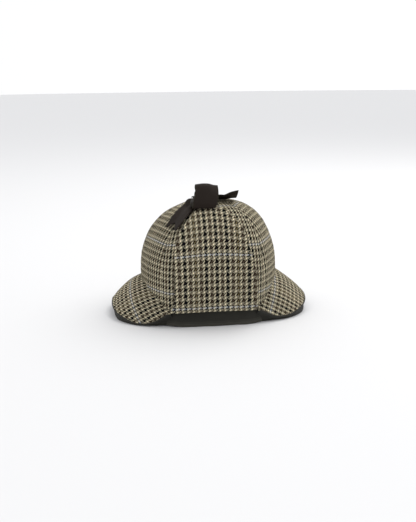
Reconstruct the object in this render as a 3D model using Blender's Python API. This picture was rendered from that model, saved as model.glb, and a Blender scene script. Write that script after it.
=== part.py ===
"""A tweed deerstalker hat, its ear flaps turned up and tied over the crown with a ribbon bow.

It rests on a flat surface at z = 0, with its long side along X (front peak at -X) and its origin on that
surface, below the middle of the crown. Metres throughout. Every piece is a cloth wall of its own, and
neighbouring pieces stay GAP apart.
"""

import math

import bpy
from mathutils import Vector

# ---- Driving dimensions, in metres ------------------------------------------------------------------

GAP = 0.0003                    # between neighbouring pieces

TWEED = 0.0018                  # one layer of tweed, as in the crown's gores
PEAK_CLOTH = 0.0024             # tweed and stiffener of a peak
FLAP_CLOTH = 0.0026             # two layers of tweed in an ear flap
FACING_CLOTH = 0.0012           # dark cloth under a peak
BAND_CLOTH = 0.0020             # dark band, its lower edge turned up into a hem
RIBBON_CLOTH = 0.0010
RIBBON_WIDTH = 0.0335

CROWN_HALF_LENGTH = 0.1018      # outside, along X
CROWN_HALF_WIDTH = 0.0850       # outside, along Y
CROWN_TOP = 0.1660              # above the surface that the hat rests on
SPRING = 0.0480                 # height where the upright wall turns into the dome
PLAN_POWER_BASE = 1.7           # the lower edge runs to a blunt point towards each peak ...
PLAN_POWER_TOP = 2.0            # ... and the top is a plain oval
PLAN_SWELL = 0.28               # the flaps' straight folds cut this share off a wider oval at the lower edge
PLAN_FLATNESS = 16              # how sharply those straight sides end
DOME_POWER_END = 2.60           # profile towards the peaks
DOME_POWER_SIDE = 2.65          # profile towards the ear flaps, with a firmer shoulder
CROWN_LEAN = 0.0120             # how far the top leans towards the rear
GORE_TIP = 0.015                # a gore stops at this share of the girth, just short of the apex
SEAM_DENT = 0.0010              # how far a seam is drawn in
SEAM_SPREAD = 0.006             # half the width of that dent

# Directions round the crown, in degrees from the long axis. Every ring of the crown, the peaks and the band
# has its points here, so that neighbouring pieces stay parallel. A quarter is mirrored to the other three.
QUARTER = (0, 8, 16, 24, 32, 40, 48.5, 57.5, 65, 73, 81.5, 90)
GORE_SEAM = 48.5                # seam between the seams on the two axes
CORNER = 57.5                   # where a peak meets a flap

FOLD_HEIGHT = 0.0220            # fold of the ear flaps above the surface
EDGE_POWER = 2.0                # how suddenly the crown's edge drops towards the corner
SEAM_ALLOWANCE = 0.003          # crown cloth below the seam with the peak
PEAK_REACH = 0.1462
PEAK_PLAN_POWER = 2.8
PEAK_CORNER = {"x": 0.0632, "y": 0.0835}    # where a peak's outer edge ends

# Peaks: direction along X, height of the seam with the crown at the peak's middle, and how far the control
# point of the curved cross-section lies out from the seam and down from it, as shares of the whole way.
PEAKS = {
    "front_peak": {"side": -1, "seam_height": 0.0550, "bend_out": 0.59, "bend_down": 0.30, "edge": "front"},
    "rear_peak": {"side": 1, "seam_height": 0.0575, "bend_out": 0.45, "bend_down": 0.27, "edge": "rear"},
}
# Outer edge of a peak: share of the way from its middle to its corner, and height of the tweed there. The
# first row mirrors the third, which keeps the edge level across the middle.
PEAK_EDGE = [
    {"share": -0.25, "front": 0.0150, "rear": 0.0175},
    {"share": 0.00, "front": 0.0168, "rear": 0.0195},
    {"share": 0.25, "front": 0.0150, "rear": 0.0175},
    {"share": 0.50, "front": 0.0095, "rear": 0.0115},
    {"share": 0.70, "front": 0.0030, "rear": 0.0060},
    {"share": 0.85, "front": 0.0060, "rear": 0.0076},
    {"share": 1.00, "front": 0.0210, "rear": 0.0210},
]
FACING_SHOWS = 0.0016           # dark rim below the tweed at the peak's middle
FACING_LANDS = 0.45             # share of the way where the facing reaches the surface

BAND_FLARE = 0.0054             # the band stands out below the fold
BAND_INSIDE = 0.0150            # how far the band reaches up inside the crown
BAND_END_HEIGHT = 0.0360        # its lower edge inside the peaks

FLAP_CLEAR = 0.0009             # between the crown and an ear flap's middle
FLAP_STAND_OFF = 0.0035         # the flap is flatter than the crown, so its sides stand off it
FLAP_TOP = 0.768                # share of the quarter turn up the dome where the flap ends
FLAP_WALL_SHARE = 0.167         # share of the flap that lies on the upright wall
# Ear flap: share of the way up from the fold, and where its two edges are along X.
FLAP_OUTLINE = [
    {"share": 0.00, "front": -0.0612, "rear": 0.0572},
    {"share": 0.05, "front": -0.0586, "rear": 0.0589},
    {"share": 0.12, "front": -0.0558, "rear": 0.0592},
    {"share": 0.26, "front": -0.0543, "rear": 0.0574},
    {"share": 0.48, "front": -0.0522, "rear": 0.0490},
    {"share": 0.60, "front": -0.0473, "rear": 0.0449},
    {"share": 0.70, "front": -0.0404, "rear": 0.0401},
    {"share": 0.82, "front": -0.0304, "rear": 0.0313},
    {"share": 0.92, "front": -0.0214, "rear": 0.0210},
    {"share": 1.00, "front": -0.0150, "rear": 0.0140},
]

# The bow. Places are in metres in the hat's own frame.
BOW_X = -0.0040                 # middle of the straps, along X
NEAR_LOOP_X = -0.0072           # middle of a loop at the height of LOOP_MIDDLE
FAR_LOOP_X = 0.0010
LOOP_MIDDLE = 0.1790
LOOP_LEAN = 0.14                # the loops lean: their run along X for a rise
KNOT = {"x": -0.0040, "y": -0.0120, "z": 0.1717, "half_x": 0.0125, "half_y": 0.0080, "half_z": 0.0056}
# Loops: the ribbon's path seen from the side, as it leaves the knot below and comes back above.
NEAR_LOOP = [
    {"y": -0.0202, "z": 0.1698},
    {"y": -0.0270, "z": 0.1692},
    {"y": -0.0340, "z": 0.1694},
    {"y": -0.0405, "z": 0.1678},
    {"y": -0.0458, "z": 0.1650},
    {"y": -0.0492, "z": 0.1624},
    {"y": -0.0503, "z": 0.1668},
    {"y": -0.0490, "z": 0.1730},
    {"y": -0.0462, "z": 0.1800},
    {"y": -0.0424, "z": 0.1872},
    {"y": -0.0377, "z": 0.1928},
    {"y": -0.0325, "z": 0.1942},
    {"y": -0.0282, "z": 0.1915},
    {"y": -0.0248, "z": 0.1860},
    {"y": -0.0222, "z": 0.1795},
    {"y": -0.0202, "z": 0.1740},
]
FAR_LOOP = [
    {"y": -0.0038, "z": 0.1698},
    {"y": 0.0050, "z": 0.1681},
    {"y": 0.0145, "z": 0.1678},
    {"y": 0.0225, "z": 0.1681},
    {"y": 0.0270, "z": 0.1702},
    {"y": 0.0247, "z": 0.1742},
    {"y": 0.0165, "z": 0.1772},
    {"y": 0.0075, "z": 0.1776},
    {"y": 0.0005, "z": 0.1760},
    {"y": -0.0038, "z": 0.1740},
]
# Tails: the ribbon's middle line, its width there and how far its face is turned about that line.
LEFT_TAIL = [
    {"x": -0.0177, "y": -0.0120, "z": 0.1716, "width": 0.008, "turn": 0},
    {"x": -0.0232, "y": -0.0134, "z": 0.1706, "width": 0.012, "turn": 0},
    {"x": -0.0286, "y": -0.0244, "z": 0.1671, "width": 0.016, "turn": 0},
    {"x": -0.0362, "y": -0.0382, "z": 0.1608, "width": 0.021, "turn": 0},
    {"x": -0.0445, "y": -0.0474, "z": 0.1527, "width": 0.024, "turn": 0},
    {"x": -0.0518, "y": -0.0533, "z": 0.1446, "width": 0.024, "turn": 0},
    {"x": -0.0585, "y": -0.0580, "z": 0.1365, "width": 0.024, "turn": 0},
]
RIGHT_TAIL = [
    {"x": 0.0090, "y": -0.0122, "z": 0.1725, "width": 0.016, "turn": 18},
    {"x": 0.0136, "y": -0.0126, "z": 0.1726, "width": 0.018, "turn": 24},
    {"x": 0.0200, "y": -0.0110, "z": 0.1720, "width": 0.0255, "turn": 20},
    {"x": 0.0278, "y": -0.0100, "z": 0.1729, "width": 0.030, "turn": 23},
    {"x": 0.0357, "y": -0.0100, "z": 0.1738, "width": 0.0325, "turn": 26},
    {"x": 0.0436, "y": -0.0100, "z": 0.1743, "width": 0.0335, "turn": 28},
]
TAIL_NOTCH = 0.010              # depth of the left tail's swallowtail cut
STRAP_START = 0.0400            # the strap starts on the flap's tip, this far out from the middle

# Mesh rows. Seats of the pieces on each other don't depend on them.
GORE_LOW_ROWS = 3                                                           # up to the first dome row
GORE_ROWS = (0.12, 0.24, 0.36, 0.48, 0.60, 0.70, 0.79, 0.87, 0.94)          # shares of the quarter turn
PEAK_ROWS = 6
FACING_DROP_ROWS = 2                                                        # below the tweed's edge
FLAP_STEPS = {"across": 12, "up": 16}
BAND_ROWS = 5


# ---- Small helpers ----------------------------------------------------------------------------------

def table_value(rows, key, position, column):
    """Value of a column at a position between rows, on a smooth curve through them."""
    last = len(rows) - 2
    i = 0
    while i < last and position > rows[i + 1][key]:
        i += 1
    before, start, end, after = rows[max(i - 1, 0)], rows[i], rows[i + 1], rows[min(i + 2, last + 1)]
    span = end[key] - start[key]
    t = min(max((position - start[key]) / span, 0.0), 1.0)
    slope_start = (end[column] - before[column]) / (end[key] - before[key]) * span
    slope_end = (after[column] - start[column]) / (after[key] - start[key]) * span
    return (
        (2 * t ** 3 - 3 * t ** 2 + 1) * start[column]
        + (t ** 3 - 2 * t ** 2 + t) * slope_start
        + (3 * t ** 2 - 2 * t ** 3) * end[column]
        + (t ** 3 - t ** 2) * slope_end
    )


def path_value(rows, column, share):
    """Value of a column at a share of the way along evenly spaced rows."""
    numbered = [{"row": i, "value": row[column]} for i, row in enumerate(rows)]
    return table_value(numbered, "row", share * (len(rows) - 1), "value")


def ease(start, end, value):
    """0 before start, 1 after end, and smooth between."""
    t = min(max((value - start) / (end - start), 0.0), 1.0)
    return t * t * (3 - 2 * t)


def shares(count):
    """Evenly spaced shares from 0 to 1, with count steps."""
    return [i / count for i in range(count + 1)]


def normal_of(face, u, v):
    """Unit normal of a surface given as face(u, v)."""
    step = 5e-4
    across = face(u + step, v) - face(u - step, v)
    up = face(u, v + step) - face(u, v - step)
    return across.cross(up).normalized()


def level(direction):
    """The direction turned into the horizontal plane."""
    return Vector((direction.x, direction.y, 0.0)).normalized()


def plain_material(name, colour, roughness):
    material = bpy.data.materials.new(name)
    material.use_nodes = True
    shader = material.node_tree.nodes["Principled BSDF"]
    shader.inputs["Base Color"].default_value = (*colour, 1.0)
    shader.inputs["Roughness"].default_value = roughness
    shader.inputs["Metallic"].default_value = 0.0
    return material


def add_object(name, points, faces, material, crease_angle=40):
    """Makes a mesh object with its faces pointing out, shaded smooth except at its sharp edges."""
    mesh = bpy.data.meshes.new(name)
    mesh.from_pydata(points, [], faces)
    volume = sum(
        mesh.vertices[p[0]].co.dot(mesh.vertices[p[i]].co.cross(mesh.vertices[p[i + 1]].co))
        for p in (list(polygon.vertices) for polygon in mesh.polygons)
        for i in range(1, len(p) - 1)
    )
    if volume < 0:
        mesh.flip_normals()
    mesh.materials.append(material)
    mesh.shade_smooth()
    mesh.set_sharp_from_angle(angle=math.radians(crease_angle))
    part = bpy.data.objects.new(name, mesh)
    bpy.context.scene.collection.objects.link(part)
    return part


def cloth(name, face, us, vs, thickness, material, turn=1, closed=False, cut=None):
    """A closed wall of cloth. face(u, v) is its outer side, and its inner side lies one thickness behind.

    us and vs are the mesh's columns and rows. turn is -1 where the normal of face points inwards. closed
    joins the wall's last column to its first. cut(v, out) gives the direction through the cloth at a row,
    where that isn't simply its normal.
    """
    columns = len(us) - 1 if closed else len(us)
    across, up = len(us) - 1, len(vs) - 1
    outer, inner = [], []
    for v in vs:
        for u in us[:columns]:
            point = face(u, v)
            out = normal_of(face, u, v) * turn
            through = cut(v, out) if cut else out
            outer.append(point)
            inner.append(point - through * thickness)
    count = len(outer)

    def corner(i, j, side):
        return side * count + j * columns + i % columns

    faces = []
    for j in range(up):
        for i in range(across):
            quad = [(i, j), (i + 1, j), (i + 1, j + 1), (i, j + 1)]
            faces.append([corner(a, b, 0) for a, b in quad])
            faces.append([corner(a, b, 1) for a, b in reversed(quad)])
    for i in range(across):
        faces.append([corner(i + 1, 0, 0), corner(i, 0, 0), corner(i, 0, 1), corner(i + 1, 0, 1)])
        faces.append([corner(i, up, 0), corner(i + 1, up, 0), corner(i + 1, up, 1), corner(i, up, 1)])
    if not closed:
        for j in range(up):
            faces.append([corner(0, j, 0), corner(0, j + 1, 0), corner(0, j + 1, 1), corner(0, j, 1)])
            faces.append([
                corner(across, j + 1, 0), corner(across, j, 0),
                corner(across, j, 1), corner(across, j + 1, 1),
            ])
    return add_object(name, outer + inner, faces, material)


# ---- The crown's form -------------------------------------------------------------------------------

def axis_angle(angle):
    """How far a direction is from the hat's long axis, from 0 to a quarter turn."""
    return math.atan2(abs(math.sin(angle)), abs(math.cos(angle)))


def dome_power(angle):
    return DOME_POWER_END + (DOME_POWER_SIDE - DOME_POWER_END) * math.sin(angle) ** 2


def plan_gauge(along, across, ring):
    """Size of the outline through a place given in half-lengths and half-widths, for outlines of a girth."""
    power = PLAN_POWER_TOP + (PLAN_POWER_BASE - PLAN_POWER_TOP) * ring ** 2
    swell = 1 - PLAN_SWELL * ring ** 2
    oval = (abs(along) ** power + (swell * abs(across)) ** power) ** (PLAN_FLATNESS / power)
    side = abs(across) ** PLAN_FLATNESS * (1 - swell ** PLAN_FLATNESS)
    return (oval + side) ** (1 / PLAN_FLATNESS)


def ring_point(angle, ring, height):
    """Point on the outline whose girth is the share ring of the full one."""
    c, s = math.cos(angle), math.sin(angle)
    reach = ring / plan_gauge(c, s, ring)
    lean = CROWN_LEAN * (1 - ring)
    return Vector((CROWN_HALF_LENGTH * reach * c + lean, CROWN_HALF_WIDTH * reach * s, height))


def crown_level(angle, run):
    """(ring, height) on the crown. run is metres below the spring if negative, else share up the dome."""
    if run <= 0:
        return 1.0, SPRING + run
    turn = min(run, 1.0) * math.pi / 2
    shape = 2 / dome_power(angle)
    return math.cos(turn) ** shape, SPRING + (CROWN_TOP - SPRING) * math.sin(turn) ** shape


def run_at(angle, height):
    """Place up the crown for a height."""
    if height <= SPRING:
        return height - SPRING
    rise = (height - SPRING) / (CROWN_TOP - SPRING)
    return math.asin(rise ** (dome_power(angle) / 2)) / (math.pi / 2)


def crown_smooth(angle, run):
    """The crown's outside, without its seams."""
    return ring_point(angle, *crown_level(angle, run))


def crown_normal(angle, run):
    """Outward normal of the crown's outside, without its seams."""
    step = 1e-3
    across = crown_smooth(angle + step, run) - crown_smooth(angle - step, run)
    up = crown_smooth(angle, run + step) - crown_smooth(angle, run - step)
    return across.cross(up).normalized()


def mirrored(quarter):
    """A quarter's directions in degrees, mirrored to the whole way round, in radians."""
    half = list(quarter) + [180 - a for a in reversed(quarter[:-1])]
    whole = half + [360 - a for a in reversed(half[:-1])]
    return [math.radians(a) for a in whole]


DIRECTIONS = mirrored(QUARTER)
SEAMS = mirrored((0, GORE_SEAM, 90))


def crown_face(angle, run):
    """The crown's outside, drawn in a little along its seams."""
    seam = min(SEAMS, key=lambda a: abs(a - angle))
    off_seam = (crown_smooth(angle, run) - crown_smooth(seam, run)).length
    dent = SEAM_DENT * math.exp(-((off_seam / SEAM_SPREAD) ** 2))
    return crown_smooth(angle, run) - crown_normal(angle, run) * dent


def corner_share(angle):
    """0 at the middle of a peak and 1 at its corner."""
    return axis_angle(angle) / math.radians(CORNER)


def seam_height(angle):
    """Height of the seam between crown and peak, or of the flap's fold beyond the peak's corner."""
    peak = PEAKS["front_peak"] if math.cos(angle) < 0 else PEAKS["rear_peak"]
    share = min(corner_share(angle), 1.0)
    return FOLD_HEIGHT + (peak["seam_height"] - FOLD_HEIGHT) * (1 - share ** EDGE_POWER)


def crown_low(angle):
    """Height of the crown's lower edge: below its seam with a peak, and just above a flap's fold."""
    rise = (SEAM_ALLOWANCE + 0.001) * ease(0.8, 1.0, corner_share(angle))
    return seam_height(angle) - SEAM_ALLOWANCE + rise


# ---- The pieces -------------------------------------------------------------------------------------

def add_gore(index, material):
    """One gore of the crown, from its lower edge up to the apex, between two seams."""
    start, end = SEAMS[index], SEAMS[index + 1]
    top = math.acos(GORE_TIP ** (DOME_POWER_END / 2)) / (math.pi / 2)
    low_share = 0.3

    def face(angle, v):
        first = crown_level(angle, GORE_ROWS[0])[1]
        if v < low_share:
            run = run_at(angle, crown_low(angle) + (first - crown_low(angle)) * v / low_share)
        else:
            run = GORE_ROWS[0] + (v - low_share) / (1 - low_share) * (top - GORE_ROWS[0])
        along = (crown_smooth(angle + 0.01, run) - crown_smooth(angle - 0.01, run)).normalized()
        to_seam = min(angle - start, end - angle)
        aside = GAP / 2 * math.copysign(1, angle - (start + end) / 2) if to_seam < 0.01 else 0.0
        return crown_face(angle, run) - along * aside

    rows = [low_share * i / GORE_LOW_ROWS for i in range(GORE_LOW_ROWS)]
    rows += [
        low_share + (1 - low_share) * (run - GORE_ROWS[0]) / (top - GORE_ROWS[0])
        for run in GORE_ROWS + (top,)
    ]
    columns = [a for a in DIRECTIONS if start - 1e-6 < a < end + 1e-6]
    return cloth(f"crown_gore_{index + 1}", face, columns, rows, TWEED, material)


def peak_columns():
    """The directions across a peak, from one corner to the other, in radians from its middle."""
    half = [math.radians(a) for a in QUARTER if a <= CORNER]
    return [-a for a in reversed(half[1:])] + half


def peak_face(peak, off, v):
    """Upper side of a peak: off is the direction from its middle, v from the crown's seam to its edge."""
    side = peak["side"]
    share = corner_share(off)
    angle = off if side > 0 else math.pi - off
    seam = ring_point(angle, 1.0, seam_height(angle))
    seam += level(crown_normal(angle, -0.01)) * GAP

    power = PEAK_PLAN_POWER
    half_width = PEAK_CORNER["y"] / (1 - (PEAK_CORNER["x"] / PEAK_REACH) ** power) ** (1 / power)
    corner = math.atan2(PEAK_CORNER["y"] / half_width, PEAK_CORNER["x"] / PEAK_REACH)
    c, s = math.cos(corner * share), math.sin(corner * share)
    reach = (c ** power + s ** power) ** (-1 / power)
    edge = Vector((
        side * PEAK_REACH * reach * c,
        math.copysign(half_width * reach * s, off),
        table_value(PEAK_EDGE, "share", share, peak["edge"]),
    ))
    bend = Vector((
        seam.x + (edge.x - seam.x) * peak["bend_out"],
        seam.y + (edge.y - seam.y) * peak["bend_out"],
        seam.z + (edge.z - seam.z) * peak["bend_down"],
    ))
    return seam * (1 - v) ** 2 + bend * 2 * v * (1 - v) + edge * v ** 2


def peak_out(peak, off, v):
    """Normal of a peak's upper side, pointing up and out."""
    return normal_of(lambda a, b: peak_face(peak, a, b), off, v) * peak["side"] * -1


def upright(out):
    """Direction through sloping cloth where it is cut upright, beside the crown's wall."""
    return Vector((0.0, 0.0, 1 / max(out.z, 0.3)))


def add_peak(name, peak, material):
    return cloth(
        name,
        lambda off, v: peak_face(peak, off, v),
        peak_columns(),
        shares(PEAK_ROWS),
        PEAK_CLOTH,
        material,
        turn=-peak["side"],
        cut=lambda v, out: upright(out) if v == 0 else out,
    )


def add_facing(name, peak, material):
    """Dark cloth under a peak, which shows below the tweed's edge and lands on the surface at its sides."""
    rows = PEAK_ROWS + FACING_DROP_ROWS
    under_share = PEAK_ROWS / rows

    def face(off, v):
        share = corner_share(off)
        on_peak = min(v / under_share, 1.0)
        out = peak_out(peak, off, on_peak)
        through = out.lerp(upright(out), max(1 - on_peak * PEAK_ROWS, 0.0))
        under = peak_face(peak, off, on_peak) - through * (PEAK_CLOTH + GAP)
        if v <= under_share:
            return under
        angle = off if peak["side"] > 0 else math.pi - off
        wall = ring_point(angle, 1.0, 0.0) + level(crown_normal(angle, -0.01)) * (FACING_CLOTH + GAP)
        inward = ease(0.72, 1.0, share)
        low = max(under.z - FACING_SHOWS, 0.0) * (1 - ease(0.0, FACING_LANDS, share))
        foot = Vector((
            under.x + (wall.x - under.x) * inward,
            under.y + (wall.y - under.y) * inward,
            low,
        ))
        return under.lerp(foot, (v - under_share) / (1 - under_share))

    def cut(v, out):
        if v == 0:
            return upright(out)
        return level(out) if v == 1 else out

    return cloth(
        name, face, peak_columns(), shares(rows), FACING_CLOTH, material, turn=-peak["side"], cut=cut
    )


def add_band(material):
    """Dark band inside the crown's lower edge. It stands on the surface below the ear flaps."""
    inset = TWEED + 2 * GAP + SEAM_DENT

    def face(angle, v):
        share = corner_share(angle)
        low = BAND_END_HEIGHT * (1 - ease(0.55, 0.85, share))
        high = seam_height(angle) + BAND_INSIDE
        height = low + (high - low) * v
        ring, _ = crown_level(angle, run_at(angle, height))
        wall = ring_point(angle, ring, height)
        flare = max(1 - height / (FOLD_HEIGHT + 0.001), 0.0) ** 1.2 * ease(1.0, 1.3, share)
        return wall + level(crown_normal(angle, -0.01)) * (BAND_FLARE * flare - inset)

    return cloth(
        "lining_band", face, DIRECTIONS, shares(BAND_ROWS), BAND_CLOTH, material,
        closed=True, cut=lambda v, out: level(out),
    )


def flap_place(side, x, run):
    """(angle, run) on the crown for a distance x along the hat, on the side of one ear flap."""
    ring, _ = crown_level(side * math.pi / 2, run)
    off = (x - CROWN_LEAN * (1 - ring)) / (CROWN_HALF_LENGTH * ring)
    along = min(abs(off), 0.98)
    low, high = 0.0, 1.0
    for _ in range(32):
        depth = (low + high) / 2
        if plan_gauge(along, depth, ring) < 1:
            low = depth
        else:
            high = depth
    return math.atan2(side * depth, math.copysign(along, off)), run


def flap_run(share):
    """Place up the crown for a share of the way up the flap."""
    if share < FLAP_WALL_SHARE:
        return -(SPRING - FOLD_HEIGHT) * (1 - share / FLAP_WALL_SHARE)
    return (share - FLAP_WALL_SHARE) / (1 - FLAP_WALL_SHARE) * FLAP_TOP


def flap_face(side, u, v):
    """Outer side of an ear flap: u from its front edge to its rear one, v from the fold to the tip."""
    front = table_value(FLAP_OUTLINE, "share", v, "front")
    rear = table_value(FLAP_OUTLINE, "share", v, "rear")
    angle, run = flap_place(side, front + (rear - front) * u, flap_run(v))
    off = FLAP_CLEAR + FLAP_CLOTH + FLAP_STAND_OFF * (2 * u - 1) ** 2 * (1 - v ** 2)
    return crown_smooth(angle, run) + crown_normal(angle, run) * off


def add_flap(name, side, material):
    return cloth(
        name,
        lambda u, v: flap_face(side, u, v),
        shares(FLAP_STEPS["across"]),
        shares(FLAP_STEPS["up"]),
        FLAP_CLOTH,
        material,
        turn=-side,
    )


def add_strap(name, side, knot_face, material):
    """Ribbon from an ear flap's tip over the top of the crown to the knot."""
    start = STRAP_START * side
    end = knot_face

    def face(u, v):
        y = start + (end - start) * v
        x = BOW_X + (u - 0.5) * RIBBON_WIDTH * (1 - 0.25 * v)
        return Vector((x, y, top_height(x, y) + GAP * 2 + RIBBON_CLOTH + flap_cover(y)))

    return cloth(name, face, shares(4), shares(8), RIBBON_CLOTH, material, turn=-side)


def top_height(x, y):
    """Height of the crown's outside near its top."""
    ring = 0.2
    for _ in range(12):
        along = (x - CROWN_LEAN * (1 - ring)) / CROWN_HALF_LENGTH
        across = y / CROWN_HALF_WIDTH
        ring = min(plan_gauge(along, across, ring), 1.0)
    power = dome_power(math.atan2(across, along))
    return SPRING + (CROWN_TOP - SPRING) * (1 - ring ** power) ** (1 / power)


def flap_cover(y):
    """Extra height over the ear flap's tip."""
    return (FLAP_CLOTH + FLAP_CLEAR) * 1.3 * ease(0.021, 0.032, abs(y))


def strip(name, rows, notch, material, across=4, steps=12, turn=1):
    """A ribbon along a path of rows with x, y, z, width and turn, its width level before the turn."""
    length = sum(
        (Vector((b["x"], b["y"], b["z"])) - Vector((a["x"], a["y"], a["z"]))).length
        for a, b in zip(rows, rows[1:])
    )

    def middle(share):
        return Vector([path_value(rows, axis, share) for axis in "xyz"])

    def face(u, v):
        share = v * (1 - notch / length * (1 - abs(2 * u - 1)) * ease(0.5, 1.0, v))
        low, high = max(share - 1e-3, 0.0), min(share + 1e-3, 1.0)
        forward = (middle(high) - middle(low)).normalized()
        sideways = Vector((forward.y, -forward.x, 0.0)).normalized()
        up = sideways.cross(forward)
        tilt = math.radians(path_value(rows, "turn", share))
        sideways = sideways * math.cos(tilt) + up * math.sin(tilt)
        return middle(share) + sideways * (u - 0.5) * path_value(rows, "width", share)

    return cloth(name, face, shares(across), shares(steps), RIBBON_CLOTH, material, turn=turn)


def add_loop(name, rows, middle, material, turn):
    """A loop of the bow: the ribbon's width lies along X, and its path turns over in the Y-Z plane."""
    def face(u, v):
        pinch = 1 - 0.3 * (1 - ease(0.0, 0.22, v)) - 0.3 * ease(0.80, 1.0, v)
        height = path_value(rows, "z", v)
        return Vector((
            middle + LOOP_LEAN * (height - LOOP_MIDDLE) + (u - 0.5) * RIBBON_WIDTH * pinch,
            path_value(rows, "y", v),
            height,
        ))

    return cloth(name, face, shares(4), shares(26), RIBBON_CLOTH, material, turn=turn)


def add_knot(material):
    """The knot: a rounded bar of folded ribbon, pleated round its girth."""
    around, along = 20, 10
    points = [Vector((-1, 0, 0))]
    for j in range(1, along):
        turn = math.pi * j / along
        for i in range(around):
            angle = 2 * math.pi * i / around
            girth = math.sin(turn) ** 0.5 * (1 - 0.05 * math.cos(4 * turn) ** 2)
            x = -math.copysign(abs(math.cos(turn)) ** 0.8, math.cos(turn))
            square = (abs(math.cos(angle)) ** 3 + abs(math.sin(angle)) ** 3) ** (-1 / 3)
            points.append(Vector((x, girth * square * math.cos(angle), girth * square * math.sin(angle))))
    points.append(Vector((1, 0, 0)))
    last = len(points) - 1
    faces = []
    for i in range(around):
        after = (i + 1) % around
        faces.append([0, 1 + after, 1 + i])
        faces.append([last, last - around + i, last - around + after])
        for j in range(along - 2):
            row = 1 + j * around
            faces.append([row + i, row + after, row + around + after, row + around + i])
    size = Vector((KNOT["half_x"], KNOT["half_y"], KNOT["half_z"]))
    centre = Vector((KNOT["x"], KNOT["y"], KNOT["z"]))
    placed = [centre + Vector((p.x * size.x, p.y * size.y, p.z * size.z)) for p in points]
    return add_object("bow_knot", placed, faces, material)


def build():
    for old in list(bpy.data.objects):
        bpy.data.objects.remove(old)
    tweed = plain_material("tweed", (0.15, 0.13, 0.095), 0.95)
    lining = plain_material("dark_lining", (0.020, 0.019, 0.015), 0.90)
    ribbon = plain_material("grosgrain", (0.026, 0.020, 0.018), 0.70)

    for index in range(len(SEAMS) - 1):
        add_gore(index, tweed)
    for name, peak in PEAKS.items():
        add_peak(name, peak, tweed)
        add_facing(name + "_facing", peak, lining)
    add_band(lining)
    add_flap("ear_flap_left", -1, tweed)
    add_flap("ear_flap_right", 1, tweed)

    knot_front = KNOT["y"] - KNOT["half_y"] - GAP
    knot_back = KNOT["y"] + KNOT["half_y"] + GAP
    add_strap("ribbon_strap_left", -1, knot_front, ribbon)
    add_strap("ribbon_strap_right", 1, knot_back, ribbon)
    add_knot(ribbon)
    add_loop("bow_loop_near", NEAR_LOOP, NEAR_LOOP_X, ribbon, turn=1)
    add_loop("bow_loop_far", FAR_LOOP, FAR_LOOP_X, ribbon, turn=-1)
    strip("bow_tail_left", LEFT_TAIL, TAIL_NOTCH, ribbon)
    strip("bow_tail_right", RIGHT_TAIL, 0.0, ribbon)


build()
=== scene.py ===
"""A tweed deerstalker hat with its ear flaps tied up in a ribbon bow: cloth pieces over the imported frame.

Metres throughout. The front peak points to -X and the wearer's left side to -Y. Every piece of cloth is a
finely meshed wall whose UV map is its flat cut in metres, which the weave follows.
"""

import math

import bpy
import numpy as np
from mathutils import Matrix, Vector


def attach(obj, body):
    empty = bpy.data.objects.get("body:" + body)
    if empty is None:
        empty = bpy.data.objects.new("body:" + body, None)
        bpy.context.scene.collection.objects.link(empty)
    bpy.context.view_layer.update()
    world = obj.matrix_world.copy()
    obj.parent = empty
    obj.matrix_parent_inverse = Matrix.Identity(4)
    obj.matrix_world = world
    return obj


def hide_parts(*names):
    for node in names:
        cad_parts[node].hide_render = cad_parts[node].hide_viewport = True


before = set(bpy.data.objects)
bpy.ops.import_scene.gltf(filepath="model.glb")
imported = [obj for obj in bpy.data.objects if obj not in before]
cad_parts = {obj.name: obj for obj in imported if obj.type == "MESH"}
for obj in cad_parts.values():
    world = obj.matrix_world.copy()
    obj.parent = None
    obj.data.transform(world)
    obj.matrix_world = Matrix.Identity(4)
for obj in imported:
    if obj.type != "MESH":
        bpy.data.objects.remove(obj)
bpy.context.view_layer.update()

# ---- The hat's form, in metres

GAP = 0.0003  # between pieces that lie on each other
TWEED = 0.0018  # one layer, as in the gores
PEAK_CLOTH = 0.0024  # with a stiffener
FLAP_CLOTH = 0.0026  # two layers
FACING_CLOTH = 0.0012
BAND_CLOTH = 0.0020
RIBBON_CLOTH = 0.0008
RIBBON_WIDTH = 0.0335
GRID = 0.0018  # mesh size on the tweed

CROWN_HALF_LENGTH = 0.1018
CROWN_HALF_WIDTH = 0.0850
CROWN_TOP = 0.1660
SPRING = 0.0480  # the crown's wall is upright up to here, and domed above
PLAN_POWER_BASE = 1.7  # roundness of the crown's outline
PLAN_POWER_TOP = 2.0
PLAN_SWELL = 0.28  # how much fuller than that its sides are at the base
PLAN_FLATNESS = 16  # how flat its sides are
DOME_POWER_END = 2.60  # roundness of the dome's profile
DOME_POWER_SIDE = 2.65
CROWN_LEAN = 0.0120  # how far the crown's top lies behind its base
GORE_TIP = 0.004  # where the gores end at the top, as a share of the base's size
GORE_WIDTH = 0.075
GORE_SEAM = 48.5  # degrees from the hat's long axis to a seam
CORNER = 57.5  # degrees from the hat's long axis to where a peak ends
SEAM_DENT = 0.0010  # depth and spread of the dent along a seam
SEAM_DENT_SPREAD = 0.0042
PUCKER = 0.00035  # rise, pace and spread of the puckers along a seam
PUCKER_PACE = 0.0021
PUCKER_SPREAD = 0.006
SEAM_LAP = 0.00012  # how far a gore's edge reaches past its seam, which keeps the light out
SEAM_ROUNDING = 0.0006
# The cloth's slow unevenness: its rise and its scale, and between which heights the crown's sets in.
WAVER = {"dome": (0.0007, 0.055), "band": (0.0007, 0.030), "peak": (0.0006, 0.050), "flap": (0.0006, 0.035)}
WAVER_STARTS, WAVER_FULL = 0.050, 0.075

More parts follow.
